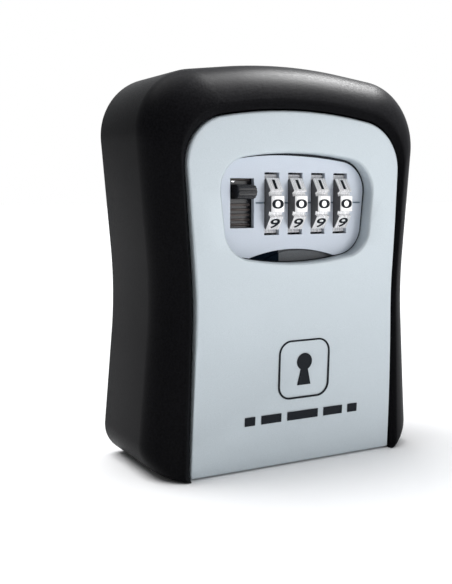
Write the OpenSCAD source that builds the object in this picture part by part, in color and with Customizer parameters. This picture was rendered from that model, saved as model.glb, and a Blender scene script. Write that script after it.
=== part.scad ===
// Wall-mounted key lock box with a four-dial combination door.
// X runs across the face, Y from the door (-) to the wall (+), Z up.
// The origin is at the middle of the base.

/* [Body] */
// Width of the body across its widest stretch
body_w = 94; // [88:0.5:116]
// Height of the body
body_h = 119.4; // [112:0.2:146]
// Depth from the wall to the crown of the door
body_d = 40.6; // [38:0.2:50]
// Height of the waist, where the body is narrowest
waist_z = 52; // [46:0.5:58]
// How far the side is drawn in at the waist
waist_in = 3.8; // [2:0.1:5]
// Radius of the two bottom corners
bottom_r = 9.4; // [6:0.2:12]
// Radius of the two shoulders
shoulder_r = 18.3; // [14:0.1:22]
// Drop from the peak of the top arch to the shoulder corner
arch_drop = 6.05; // [4:0.05:8]
// Depth of the straight side wall, from the wall side
side_d = 28; // [26:0.5:31]
// Thickness of the side, top and bottom walls
wall = 3; // [2:0.1:4]
// Thickness of the back wall
back_wall = 4; // [3:0.1:6]
// Thickness of the front rim that the door closes into
rim_t = 11.2; // [10.4:0.1:12]
// Width of the rim beside the door
rim_side = 11.7; // [10:0.1:13]
// Height of the rim above the door
rim_top = 13.6; // [12:0.1:16]

/* [Wall screws] */
// Spacing of the wall screw holes across the body
screw_dx = 48; // [30:1:56]
// Spacing of the wall screw holes up the body
screw_dz = 74; // [50:1:80]
// Height of the lower pair of wall screw holes
screw_z = 22; // [18:1:26]
// Diameter of each wall screw hole
screw_d = 5; // [4:0.1:6]

/* [Door] */
// Gap between the door and the rim
door_gap = 0.3; // [0.25:0.05:0.5]
// Thickness of the door skin
skin_t = 2.6; // [2:0.1:3]
// Thickness of the skirt round the door
skirt_t = 2; // [1.5:0.1:2.5]
// Rise of the crown of the door above its two ends
crown = 2; // [1:0.1:2.5]
// Diameter of the hinge pin
pin_d = 3; // [2.6:0.1:3.4]
// Height of the hinge pin
pin_z = 5; // [4.8:0.1:5.4]
// Distance of the hinge pin behind the crown of the door
pin_back = 5.5; // [5:0.1:6]

/* [Dial recess] */
// Half width of the recess near its top
recess_top_w = 26.8; // [25:0.1:28]
// Half width of the recess near its bottom
recess_low_w = 24.2; // [23:0.1:25]
// Height of the row of dials
dial_z = 78.6; // [76:0.1:80]
// Depth of the dial plate below the crown of the door
plate_depth = 4.9; // [4:0.1:6]
// Thickness of the dial plate
plate_t = 1.5; // [1.2:0.1:2]

/* [Dials] */
// Spacing of the four dials
dial_pitch = 8.1; // [7.8:0.05:8.3]
// Width of each dial
dial_w = 4.5; // [4.2:0.05:4.7]
// Distance from the middle of a dial to the face of a digit
dial_face = 9.7; // [9.2:0.05:9.8]
// Place of the first dial across the box, from the middle
dial_first = -7.25; // [-7.6:0.05:-7]
// Diameter of the dial shaft
shaft_d = 3; // [2.4:0.1:3.4]
// Diameter of the code cam beside each dial
cam_d = 8.8; // [8.4:0.1:8.8]

/* [Latch] */
// Travel of the slide button
slide_travel = 2.2; // [1.8:0.1:2.2]
// Travel of the bolt
bolt_travel = 2.2; // [1.8:0.1:2.2]
// Width of the bolt
bolt_w = 14; // [10:0.5:18]
// Width of the window for the slide button
window_w = 7.8; // [7:0.1:8]
// Height of the window for the slide button
window_h = 14.3; // [13:0.1:14.6]
// Travel of the code change lever
reset_travel = 5; // [4:0.1:5.5]

/* [Hidden] */

$fn = 64;
fit = 0.05;                 // radial running fit of a shaft or a pin in its bore
press = 0.02;               // radial clearance of a pin that is held still
free = 0.3;                 // clearance beside a part that slides or turns
arc_steps = 8;              // straight stretches in one rounded corner

// Places along Y
front_y = -body_d / 2;
back_y = body_d / 2;
floor_y = back_y - back_wall;
side_y = back_y - side_d;
crest_y = front_y + 0.4;
catch_y = crest_y + rim_t;
skirt_y = catch_y - 1.8;
plate_y = front_y + plate_depth;
plate_back = plate_y + plate_t;
pin_y = front_y + pin_back;

// Outline of the body: corners as [x, z, fillet radius], right half
flare_low = 0.95;           // the rounding takes this much off the bottom corner
flare_top = 1.5;            // the rounding takes this much off the shoulder
waist_r = 150;              // radius of the long hollow side
arch_r = 160;               // radius of the top arch
open_arch_r = 137;          // radius of the arch over the opening
arch_z = body_h + 1.22;     // the rounding takes the difference off the peak
body_half = [
    [body_w / 2 + flare_low, 0, bottom_r],
    [body_w / 2 - waist_in, waist_z, waist_r],
    [body_w / 2 + flare_top, arch_z - arch_drop, shoulder_r],
    [0, arch_z, arch_r]
];
// Outline of the opening in the rim, drawn past the base so that it is open there
open_bottom = -2;
open_half = [
    [body_w / 2 - rim_side + 0.45, open_bottom, 0],
    [body_w / 2 - rim_side - 1.0, waist_z, waist_r],
    [body_w / 2 - rim_side + 2.3, arch_z - arch_drop - rim_top + 0.5, shoulder_r - 4],
    [0, arch_z - rim_top + 1.0, open_arch_r]
];

// Swing of the door round its pin
swing_r = 6;                // reach of the door's lower end from the pin
swing_clear = swing_r + free;
crown_z = waist_z + 2;      // height at which the door stands furthest out
crown_r = (pow(crown_z, 2) + pow(crown, 2)) / (2 * crown);

// Mechanism box behind the dial recess
shaft_y = plate_y + 6.2;
shaft_r = shaft_d / 2;
dial_sweep = norm([dial_face, dial_flat() / 2]);
box_w = 31.2;               // half width outside
box_wall = 1.8;
box_low = dial_z - 21.1;
box_top = dial_z + 21.9;
cover_y = shaft_y + dial_sweep + 1.6;
cover_t = 1.5;
function dial_flat() = 4.9; // width of one digit face round the dial
function dial_x(i) = dial_first + i * dial_pitch;

// Lugs that carry the shaft, and what runs beyond them
lug_left = [dial_first - dial_w / 2 - 2.6, dial_first - dial_w / 2 - 0.8];
cam_hub = 1.25;             // gap between a dial and its cam's flange
cam_t = 1.6;
lug_right = [dial_x(3) + dial_w / 2 + cam_hub + cam_t + 0.4, dial_x(3) + dial_w / 2 + cam_hub + cam_t + 1.8];
shaft_travel = 1.2;
head_x = lug_right[1] + 2.7;
head_t = 0.8;
head_r = shaft_r + 1.3;
gate_w = 2.3;               // width of the gate that a fence finger drops into
gate_r = 2.2;               // radius of the bottom of the gate

// Latch plate, bolt and button
sheet_t = 1.5;
fence_y = [shaft_y - sheet_t / 2, shaft_y + sheet_t / 2];
bar_z = [dial_z + dial_sweep + slide_travel + 0.4, dial_z + dial_sweep + slide_travel + 5.4];
finger_z = dial_z + cam_d / 2 + free;
window_x = dial_first - dial_w / 2 - 3.8 - window_w;
window_z = dial_z + 0.2;
button_side = 0.8;          // how far the ribbed plate runs past the window, each side
button_y = [plate_back + free, plate_back + free + 1.6];
open_top = max([for (p = rounded(both_sides(open_half))) p[1]]);
bolt_y = [catch_y + 0.35, catch_y + 2.35];
bolt_z = [bar_z[0] - 0.2, open_top - 0.7];
bolt_slot_w = 4.4;
bolt_tab_z = [bolt_z[0] + bolt_travel + 1.3, bolt_z[0] + bolt_travel + 2.5];
bolt_slot_z = [bolt_z[0] + 1.2, bolt_tab_z[1] + 2.6];

// ---- Outlines -----------------------------------------------------------------------------

function unit(v) = v / norm(v);

// Points of the arc that rounds corner p between its neighbours a and b
function corner(a, p, b, r) =
    let (u = unit(a - p), v = unit(b - p), half = acos(u * v) / 2)
    r <= 0 ? [p] :
    let (c = p + unit(u + v) * r / sin(half), s = p + u * r / tan(half) - c, e = p + v * r / tan(half) - c,
        start = atan2(s[1], s[0]), turn = (atan2(e[1], e[0]) - start + 540) % 360 - 180)
    [for (k = [0:arc_steps]) c + r * [cos(start + turn * k / arc_steps), sin(start + turn * k / arc_steps)]];

// Rounded outline through corners given as [x, z, radius]
function rounded(c) =
    let (n = len(c), p = [for (q = c) [q[0], q[1]]])
    [for (i = [0:n - 1]) each corner(p[(i + n - 1) % n], p[i], p[(i + 1) % n], c[i][2])];

// Whole outline from its right half, which ends on the centre line
function both_sides(h) =
    concat(h, [for (i = [len(h) - 2:-1:0]) [-h[i][0], h[i][1], h[i][2]]]);

// Corners moved in by d, with the fillets kept parallel; the long waist is the one hollow corner
function inset(c, d) =
    let (n = len(c), p = [for (q = c) [q[0], q[1]]])
    [for (i = [0:n - 1])
        let (u = unit(p[i] - p[(i + n - 1) % n]), v = unit(p[(i + 1) % n] - p[i]),
            nu = [-u[1], u[0]], nv = [-v[1], v[0]],
            q = p[i] + d * (nu + nv) / (1 + nu * nv),
            hollow = u[0] * v[1] - u[1] * v[0] < 0)
        [q[0], q[1], c[i][2] <= 0 ? 0 : max(0.4, c[i][2] + (hollow ? d : -d))]];

function blend(a, b, t) = [for (i = [0:len(a) - 1]) a[i] * (1 - t) + b[i] * t];

module outline(c) {
    polygon(rounded(c));
}

// Extrudes an outline in X and Z from y0 to y1
module along_y(y0, y1) {
    translate([0, y1, 0]) rotate([90, 0, 0]) linear_extrude(y1 - y0) children();
}

// Extrudes an outline in Y and Z from x0 to x1
module along_x(x0, x1) {
    translate([x0, 0, 0]) rotate([90, 0, 90]) linear_extrude(x1 - x0) children();
}

// Extrudes an outline in X and Y from z0 to z1
module along_z(z0, z1) {
    translate([0, 0, z0]) linear_extrude(z1 - z0) children();
}

module rod_x(x0, x1, r, y, z) {
    translate([x0, y, z]) rotate([0, 90, 0]) cylinder(r = r, h = x1 - x0);
}

module rod_y(y0, y1, r, x, z) {
    translate([x, y1, z]) rotate([90, 0, 0]) cylinder(r = r, h = y1 - y0);
}

module block(x, y, z) {
    translate([x[0], y[0], z[0]]) cube([x[1] - x[0], y[1] - y[0], z[1] - z[0]]);
}

// Closed skin through rings that have the same number of points; strips across close both ends
module loft(rings) {
    n = len(rings[0]);
    m = len(rings);
    sides = [for (j = [0:m - 2]) for (i = [0:n - 1])
        each [[j * n + i, j * n + (i + 1) % n, (j + 1) * n + (i + 1) % n],
            [j * n + i, (j + 1) * n + (i + 1) % n, (j + 1) * n + i]]];
    cap = [for (i = [0:ceil(n / 2) - 2]) each
        concat([[i, i + 1, n - 1 - i]], i + 1 < n - 2 - i ? [[i + 1, n - 2 - i, n - 1 - i]] : [])];
    first = [for (t = cap) [t[2], t[1], t[0]]];
    last = [for (t = cap) [for (i = t) i + (m - 1) * n]];
    polyhedron(points = [for (ring = rings) each ring], faces = concat(sides, first, last), convexity = 6);
}

// Round wire coil about Z, from z = 0 up to len_z
module coil(r, wire_r, turns, len_z) {
    sides = 6;
    steps = 12;
    rise = (len_z - 2 * wire_r) / (turns * steps);
    loft([for (k = [0:turns * steps])
        [for (s = [0:sides - 1])
            let (a = 360 * k / steps, b = -360 * s / sides, q = r + wire_r * cos(b))
            [q * cos(a), q * sin(a), wire_r + rise * k + wire_r * sin(b)]]]);
}

// ---- Housing ------------------------------------------------------------------------------

body_ring = both_sides(body_half);
open_ring = both_sides(open_half);
rim_foot = [for (i = [0:len(open_half) - 1]) [open_half[i][0], max(0, open_half[i][1]), max(1, open_half[i][2])]];
rim_ring = both_sides(rim_foot);

// Ring of an outline at one depth, wound so that a loft from back to front faces outward
function ring_at(c, y) = let (p = rounded(c)) [for (i = [len(p) - 1:-1:0]) [p[i][0], y, p[i][1]]];

// Opening of the rim as a closed ring that stops above the base
open_foot = 1.2;
hole_ring = both_sides([for (i = [0:len(open_half) - 1])
    [open_half[i][0], i == 0 ? open_foot : open_half[i][1], i == 0 ? 0.5 : open_half[i][2]]]);

// One skin: the back, the straight side wall, the roll over to the crest of the rim, the sloping
// inner edge, the opening, the step behind the rim and the hollow inside
module housing_skin() {
    roll = 66;              // degrees of the oval that the roll takes up
    roll_steps = 7;
    roll_share = 0.82;      // part of the rim's width that the roll takes up
    edge = 0.8;             // eased edge at the wall
    slope = 1.3;            // depth of the sloping inner edge
    loft(concat(
        [ring_at(inset(body_ring, edge), back_y), ring_at(body_ring, back_y - edge)],
        [for (k = [0:roll_steps])
            let (a = roll * k / roll_steps)
            ring_at(blend(body_ring, rim_ring, roll_share * (1 - cos(a)) / (1 - cos(roll))),
                side_y + (crest_y - side_y) * sin(a) / sin(roll))],
        [ring_at(blend(body_ring, rim_ring, 0.86), crest_y + 0.05),
            ring_at(hole_ring, crest_y + slope), ring_at(hole_ring, catch_y),
            ring_at(inset(body_ring, wall), catch_y + 0.01), ring_at(inset(body_ring, wall), floor_y)]
    ));
}

module wall_screw_places() {
    for (x = [-screw_dx / 2, screw_dx / 2], z = [screw_z, screw_z + screw_dz]) {
        translate([x, 0, z]) children();
    }
}

module rear_housing() {
    boss_t = 1;
    foot_w = open_half[0][0] - 0.12;
    color([0.07, 0.07, 0.08])
    difference() {
        union() {
            housing_skin();
            wall_screw_places() rod_y(floor_y - boss_t, floor_y + 1, screw_d, 0, 0);
        }
        block([-foot_w, foot_w], [front_y - 1, pin_y + 1], [-1, open_foot + 1]);
        rod_x(-foot_w, foot_w, swing_clear, pin_y, pin_z);
        wall_screw_places() rod_y(floor_y - boss_t - 1, back_y + 1, screw_d / 2, 0, 0);
        rod_x(-pin_half - 0.3, pin_half + 0.3, pin_d / 2 + press, pin_y, pin_z);
    }
}

// ---- Door ---------------------------------------------------------------------------------

door_ring = inset(both_sides([for (i = [0:len(open_half) - 1])
    [open_half[i][0], i == 0 ? 0 : open_half[i][1], i == 0 ? 0 : open_half[i][2]]]), door_gap);
pin_half = body_w / 2 - rim_side + 3.2;
knuckle_x = [body_w / 2 - rim_side - skirt_t - 9.5, body_w / 2 - rim_side - skirt_t + 0.2];
knuckle_r = 3.6;

recess_half = [
    [0, dial_z - 18.3, 90],
    [recess_low_w, dial_z - 14.6, 9],
    [recess_top_w, dial_z + 11.9, 9.5],
    [0, dial_z + 16.0, 110]
];
recess_ring = concat(recess_half, [for (i = [2, 1]) [-recess_half[i][0], recess_half[i][1], recess_half[i][2]]]);
box_ring = [[box_w, box_low, 3], [box_w, box_top, 10], [-box_w, box_top, 10], [-box_w, box_low, 3]];

// Ring of an outline that follows the crown of the door, sunk by d below it
function crown_ring(c, d) = [for (p = ring_at(c, front_y + d)) p + [0, pow(p[2] - crown_z, 2) / (2 * crown_r), 0]];

module cover_screw_places() {
    for (x = [-1, 1], z = [box_low + 4.3, box_top - 7]) {
        translate([x * (box_w - (z > dial_z ? 4.7 : 4.3)), 0, z]) children();
    }
}

module plate_screw_places() {
    for (x = [-1, 1], z = [dial_z - 11, dial_z + 9]) {
        translate([x * ((z > dial_z ? recess_top_w : recess_low_w) + 1.1), 0, z]) children();
    }
}

// Skin and skirt of the door; its lower back edge is cut away to turn past the base
module door_pan() {
    inner = inset(door_ring, skirt_t);
    toe = [pin_y + sqrt(pow(swing_r, 2) - pow(pin_z - door_gap, 2)), door_gap];
    heel = [skirt_y, pin_z - sqrt(pow(swing_r, 2) - pow(skirt_y - pin_y, 2))];
    low = toe - 2 * (heel - toe);
    high = heel + 2 * (heel - toe);
    difference() {
        loft([crown_ring(inner, skin_t), ring_at(inner, skirt_y), ring_at(door_ring, skirt_y),
            crown_ring(door_ring, 0)]);
        along_x(-body_w, body_w) polygon([low, [high[0], low[1]], high]);
    }
}

module door_shell() {
    boss_r = 2.6;
    in_skin = front_y + crown + 0.2;
    color([0.80, 0.84, 0.87])
    difference() {
        union() {
            door_pan();
            along_y(in_skin, plate_y) outline(inset(recess_ring, -2.2));
            difference() {
                along_y(in_skin, cover_y) outline(box_ring);
                along_y(in_skin - 1, cover_y + 1) outline(inset(box_ring, box_wall));
            }
            cover_screw_places() rod_y(plate_back + 0.2, cover_y, boss_r, 0, 0);
            block([-box_w + 1, leg_x[1]], [shaft_y - 2.2, shaft_y + 2.2], [shelf_z - 1.2, shelf_z]);
            for (s = [-1, 1]) {
                rod_x(s < 0 ? -knuckle_x[1] : knuckle_x[0], s < 0 ? -knuckle_x[0] : knuckle_x[1],
                    knuckle_r, pin_y, pin_z);
                block(s < 0 ? [-knuckle_x[1], -knuckle_x[0]] : knuckle_x,
                    [front_y + crown, pin_y], [1, pin_z + knuckle_r]);
            }
        }
        along_y(front_y - 1, plate_y + 0.1) outline(recess_ring);
        rod_x(-body_w / 2, body_w / 2, pin_d / 2 + fit, pin_y, pin_z);
        plate_screw_places() rod_y(plate_y - 1.6, plate_y + 1, 0.82, 0, 0);
        cover_screw_places() rod_y(cover_y - 6, cover_y + 1, 1.02, 0, 0);
        block([-bolt_w / 2 - free, bolt_w / 2 + free], [bolt_y[0] - 0.25, bolt_y[1] + 0.4],
            [box_top - 4, box_top + 1]);
        block([-bolt_slot_w / 2, bolt_slot_w / 2], [bolt_y[0], bolt_y[1] + 1.6], [box_top - 4, box_top + 1]);
    }
}

module hinge_pin() {
    color([0.55, 0.56, 0.58])
        rod_x(-pin_half, pin_half, pin_d / 2, pin_y, pin_z);
}

// ---- Dial plate and covers ----------------------------------------------------------------

slot_w = dial_w + 0.5;
slot_h = 18.3;

module index_line() {
    groove = 0.25;
    x_end = dial_x(3) + dial_w / 2 + 5.4;
    x_start = window_x + window_w + 0.6;
    block([x_start, x_end], [plate_y - 1, plate_y + groove], [dial_z + 0.05, dial_z + 0.55]);
}

module dial_plate() {
    plate_ring = inset(box_ring, box_wall + 0.2);
    lug_y = [plate_back - 0.2, shaft_y + shaft_r + 1.6];
    color([0.78, 0.82, 0.86])
    difference() {
        union() {
            along_y(plate_y, plate_back) outline(plate_ring);
            block(lug_left, lug_y, [dial_z - 3.9, dial_z + 3.9]);
            block(lug_right, lug_y, [dial_z - 3.9, dial_z + 3.9]);
        }
        for (i = [0:3]) {
            block([dial_x(i) - slot_w / 2, dial_x(i) + slot_w / 2], [plate_y - 1, plate_back + 1],
                [dial_z - slot_h / 2, dial_z + slot_h / 2]);
        }
        block([window_x, window_x + window_w], [plate_y - 1, plate_back + 1],
            [window_z - window_h / 2, window_z + window_h / 2]);
        index_line();
        along_y(plate_y - 1, plate_back + 1) scoop_outline(0);
        rod_x(lug_left[0] - 1, lug_right[1] + 1, shaft_r + fit, shaft_y, dial_z);
        plate_screw_places() rod_y(plate_y - 1, plate_back + 1, 1.1, 0, 0);
    }
}

// Lens shape under the dials: the upper arc over the lower bow of the recess
scoop_w = 18.8;
module scoop_outline(d) {
    low = dial_z - 17.3;
    rise = 3.9;
    sag = 0.6;
    up_r = (pow(scoop_w, 2) + pow(rise, 2)) / (2 * rise);
    low_r = (pow(scoop_w, 2) + pow(sag, 2)) / (2 * sag);
    intersection() {
        translate([0, low + rise - up_r]) circle(r = up_r - d, $fn = 360);
        translate([0, low - sag + low_r]) circle(r = low_r - d, $fn = 720);
    }
}

module thumb_rest() {
    lens_t = 1;
    color([0.30, 0.32, 0.33])
    union() {
        along_y(plate_back - 0.4, plate_back + 0.02) scoop_outline(0.25);
        along_y(plate_back + 0.02, plate_back + 0.9) scoop_outline(-0.9);
        along_y(plate_back - lens_t, plate_back - 0.38) intersection() {
            scoop_outline(0.5);
            translate([1.8, dial_z - 14.9 - 16]) circle(r = 17.3, $fn = 180);
        }
    }
}

module mechanism_cover() {
    color([0.45, 0.46, 0.48])
    difference() {
        along_y(cover_y, cover_y + cover_t) outline(box_ring);
        cover_screw_places() rod_y(cover_y - 1, cover_y + cover_t + 1, 1.4, 0, 0);
        block([lever_x[0] - free, lever_x[1] + free], [cover_y - 1, cover_y + cover_t + 1],
            [lever_z[0] - free, lever_z[1] + reset_travel + free]);
    }
}

module pan_screw(head_r, head_t, shank_r, len_y) {
    rod_y(-head_t, 0, head_r, 0, 0);
    rod_y(-head_t - len_y, -head_t + 0.1, shank_r, 0, 0);
}

module cross_cut(size, depth) {
    for (a = [45, 135]) {
        rotate([0, a, 0]) block([-size, size], [-depth, 1], [-0.22, 0.22]);
    }
}

module cover_screws() {
    head = 1.3;
    color([0.62, 0.63, 0.65])
    cover_screw_places() translate([0, cover_y + cover_t + head, 0])
    difference() {
        pan_screw(2.2, head, 1, 6.5);
        cross_cut(1.3, 0.8);
    }
}

module plate_screws() {
    head = 0.9;
    color([0.62, 0.63, 0.65])
    plate_screw_places() translate([0, plate_back + head, 0])
    difference() {
        pan_screw(1.5, head, 0.8, plate_t + 1.3);
        cross_cut(0.9, 0.5);
    }
}

// Leaf comb on the cover: each finger bears on one dial
module detent_spring() {
    leaf = 0.4;
    base_z = dial_z - 15.6;
    color([0.66, 0.67, 0.68])
    union() {
        block([dial_x(0) - 3, dial_x(3) + 3], [cover_y - leaf, cover_y], [base_z, base_z + 3.6]);
        for (i = [0:3]) {
            block([dial_x(i) - 1.3, dial_x(i) + 1.3], [cover_y - leaf - 0.35, cover_y - 0.35],
                [base_z + 3, dial_z + 1]);
            block([dial_x(i) - 1.3, dial_x(i) + 1.3], [cover_y - leaf - 0.35, cover_y],
                [base_z + 3, base_z + 3.6]);
            rod_x(dial_x(i) - 1.3, dial_x(i) + 1.3, 0.6, cover_y - leaf - 0.35, dial_z);
        }
    }
}

// ---- Dials, cams and shaft ----------------------------------------------------------------

module dial_outline() {
    root = dial_face - 0.95;
    half_gap = 4;           // half of the gap between two digit faces, in degrees
    polygon([for (k = [0:9]) each [
        for (q = [[dial_face, -dial_flat() / 2], [dial_face, dial_flat() / 2]])
            [q[0] * cos(36 * k) - q[1] * sin(36 * k), q[0] * sin(36 * k) + q[1] * cos(36 * k)],
        for (a = [18 - half_gap, 18 + half_gap])
            [root * cos(36 * k + a), root * sin(36 * k + a)]
    ]]);
}

module dial(i) {
    color([0.86, 0.87, 0.88])
    difference() {
        along_x(dial_x(i) - dial_w / 2, dial_x(i) + dial_w / 2)
            translate([shaft_y, dial_z]) dial_outline();
        rod_x(dial_x(i) - dial_w, dial_x(i) + dial_w, shaft_r + fit, shaft_y, dial_z);
        rod_x(dial_x(i) + dial_w / 2 - 1, dial_x(i) + dial_w, 3.4 + fit, shaft_y, dial_z);
    }
}

// Cam with the code gate at the top and an assembly slot a quarter turn behind it
module code_cam(i) {
    x0 = dial_x(i) + dial_w / 2;
    color([0.85, 0.72, 0.42])
    difference() {
        union() {
            rod_x(x0 - 0.95, x0 + cam_hub + 0.1, 3.4, shaft_y, dial_z);
            rod_x(x0 + cam_hub, x0 + cam_hub + cam_t, cam_d / 2, shaft_y, dial_z);
        }
        rod_x(x0 - 2, x0 + cam_hub + cam_t + 1, shaft_r + fit, shaft_y, dial_z);
        block([x0 + cam_hub, x0 + cam_hub + cam_t + 1], [shaft_y - gate_w / 2, shaft_y + gate_w / 2],
            [dial_z + gate_r, dial_z + cam_d]);
        block([x0 + cam_hub, x0 + cam_hub + cam_t + 1], [shaft_y + gate_r, shaft_y + cam_d],
            [dial_z - gate_w / 2, dial_z + gate_w / 2]);
    }
}

clip_x = lug_left[0] - 1.7;

module dial_shaft() {
    color([0.60, 0.61, 0.63])
    difference() {
        union() {
            rod_x(clip_x - 0.8, head_x, shaft_r, shaft_y, dial_z);
            rod_x(head_x - 0.1, head_x + head_t, head_r, shaft_y, dial_z);
        }
        difference() {
            rod_x(clip_x, clip_x + 0.6, shaft_r + 1, shaft_y, dial_z);
            rod_x(clip_x - 1, clip_x + 1.6, shaft_r - 0.5, shaft_y, dial_z);
        }
    }
}

// Ring clip in the groove at the left end of the shaft, open at the bottom
module shaft_clip() {
    color([0.30, 0.31, 0.33])
    difference() {
        rod_x(clip_x + 0.05, clip_x + 0.55, shaft_r + 1.2, shaft_y, dial_z);
        rod_x(clip_x - 1, clip_x + 1.6, shaft_r - 0.5 + press, shaft_y, dial_z);
        block([clip_x - 1, clip_x + 1.6], [shaft_y - 1.2, shaft_y + 1.2], [dial_z - 6, dial_z - 0.5]);
    }
}

module shaft_spring() {
    color([0.70, 0.71, 0.72])
    translate([lug_right[1] + 0.05, shaft_y, dial_z]) rotate([0, 90, 0])
        coil(shaft_r + 0.5, 0.2, 4, head_x - 0.1 - lug_right[1] - 0.1);
}

// ---- Latch, bolt and code change lever ------------------------------------------------------

leg_x = [window_x - 0.6, window_x + 4.9];
screw_x = (leg_x[0] + leg_x[1]) / 2;
button_screw_z = window_z + window_h / 2 - 0.4;
shelf_z = dial_z - 8.6;
spring_r = 1.6;
leg_low = button_screw_z - 3.3;

module latch_plate() {
    bar_x = [leg_x[0], lug_right[0] - 0.4];
    tab = 3.6;
    color([0.58, 0.59, 0.60])
    difference() {
        union() {
            block(bar_x, fence_y, bar_z);
            block(leg_x, fence_y, [leg_low, bar_z[0] + 1]);
            block(leg_x, [fence_y[0], shaft_y + 2.2], [leg_low, leg_low + 1]);
            for (i = [0:3]) {
                x0 = dial_x(i) + dial_w / 2 + cam_hub;
                block([x0 + 0.1, x0 + cam_t - 0.1], fence_y, [finger_z, bar_z[0] + 1]);
            }
            block([-bolt_slot_w / 2 + free, bolt_slot_w / 2 - free], [fence_y[0], fence_y[1] + tab], bolt_tab_z);
        }
        rod_y(fence_y[0] - 1, fence_y[1] + 1, 1.15, screw_x, button_screw_z);
    }
}

// Ribbed plate behind the window, with a rounded thumb piece that stands out through it
module slide_button() {
    top_z = window_z + window_h / 2 + slide_travel + 0.4;
    low_z = window_z - window_h / 2 - 0.5;
    rib = 0.85;
    thumb_z = window_z + 3.3;
    thumb_r = 2.1;
    thumb_x = [window_x + 0.35, window_x + window_w - 0.35];
    color([0.10, 0.11, 0.12])
    difference() {
        union() {
            block([window_x - button_side, window_x + window_w + button_side], button_y, [low_z, top_z]);
            rod_x(thumb_x[0], thumb_x[1], thumb_r, plate_y - 0.6, thumb_z);
            block(thumb_x, [plate_y - 0.6, button_y[1]], [thumb_z - thumb_r, thumb_z + thumb_r]);
            block([screw_x - 2.2, screw_x + 2.2], [button_y[0], fence_y[0] - 0.02],
                [button_screw_z - 2.2, button_screw_z + 2.2]);
        }
        for (k = [-8:8]) {
            z = window_z + k * 2 * rib;
            if (z < thumb_z - thumb_r - 0.3 && z > low_z + 0.6) {
                block([window_x + 0.2, window_x + window_w - 0.2], [button_y[0] - 1, button_y[0] + 0.6],
                    [z, z + rib]);
            }
        }
        rod_y(fence_y[0] - 3.4, fence_y[0] + 1, 0.82, screw_x, button_screw_z);
    }
}

module button_screw() {
    head = 1;
    color([0.62, 0.63, 0.65])
    translate([screw_x, fence_y[1] + head, button_screw_z])
    difference() {
        pan_screw(1.9, head, 0.8, sheet_t + 3);
        cross_cut(1.1, 0.5);
    }
}

module latch_spring() {
    color([0.70, 0.71, 0.72])
    translate([screw_x, shaft_y, shelf_z + 0.02]) coil(spring_r, 0.22, 6, leg_low - shelf_z - 0.04);
}

// Bolt with a sloping back edge, so that the door can be pushed shut. Drawn pressed in, clear of the
// rim; its spring lifts it until the bar below its slot meets the tab of the latch plate
module latch_bolt() {
    slope = 1.4;
    color([0.72, 0.73, 0.74])
    difference() {
        along_x(-bolt_w / 2, bolt_w / 2)
            polygon([[bolt_y[0], bolt_z[0]], [bolt_y[1], bolt_z[0]], [bolt_y[1], bolt_z[1] - slope],
                [bolt_y[1] - slope, bolt_z[1]], [bolt_y[0], bolt_z[1]]]);
        block([-bolt_slot_w / 2, bolt_slot_w / 2], [bolt_y[0] - 1, bolt_y[1] + 1], bolt_slot_z);
    }
}

module bolt_spring() {
    color([0.70, 0.71, 0.72])
    translate([0, fence_y[1] + 1.85, bolt_tab_z[1] + 0.02])
        coil(1.35, 0.2, 4, bolt_slot_z[1] - bolt_tab_z[1] - 0.04);
}

lever_x = [head_x + head_t + 0.2, box_w - box_wall - 0.35];
lever_z = [dial_z - 5, dial_z - 1];

// Lever in the back cover: its sloping blade pushes the shaft along
module reset_lever() {
    drop = reset_travel + shaft_r + 0.4;
    blade_z = [dial_z - head_r - drop, dial_z + 0.5];
    lean = shaft_travel / reset_travel;
    face_x = head_x + head_t + 0.05;
    color([0.12, 0.12, 0.13])
    union() {
        along_y(shaft_y - 1.6, shaft_y + 1.6) polygon([
            [face_x + lean * (blade_z[0] - dial_z + head_r), blade_z[0]], [lever_x[1], blade_z[0]],
            [lever_x[1], blade_z[1]], [face_x + lean * (blade_z[1] - dial_z + head_r), blade_z[1]]]);
        block([lever_x[1] - 1.2, lever_x[1]], [shaft_y - 1.6, cover_y + cover_t + 1.5], [lever_z[0], lever_z[1]]);
        block([lever_x[0] - 1.4, lever_x[1]], [cover_y + cover_t + 0.1, cover_y + cover_t + 1.5],
            [lever_z[0], lever_z[1]]);
    }
}

rear_housing();
hinge_pin();
door_shell();
dial_plate();
thumb_rest();
mechanism_cover();
cover_screws();
plate_screws();
detent_spring();
dial_shaft();
shaft_clip();
shaft_spring();
dial(0);  // dial_1
dial(1);  // dial_2
dial(2);  // dial_3
dial(3);  // dial_4
code_cam(0);  // code_cam_1
code_cam(1);  // code_cam_2
code_cam(2);  // code_cam_3
code_cam(3);  // code_cam_4
latch_plate();
slide_button();
button_screw();
latch_spring();
latch_bolt();
bolt_spring();
reset_lever();
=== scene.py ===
"""Wall-mounted key lock box: the finished looks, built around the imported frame.

Sizes in the classes are millimetres; meshes are made in metres, at the place where they belong.
"""
import logging
import math
from contextlib import contextmanager
from dataclasses import dataclass
from enum import Enum
from typing import Any, Iterable, Iterator, Sequence

import bmesh
import bpy
import numpy as np
from bpy.types import Material, Mesh, Object
from mathutils import Matrix, Vector


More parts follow.
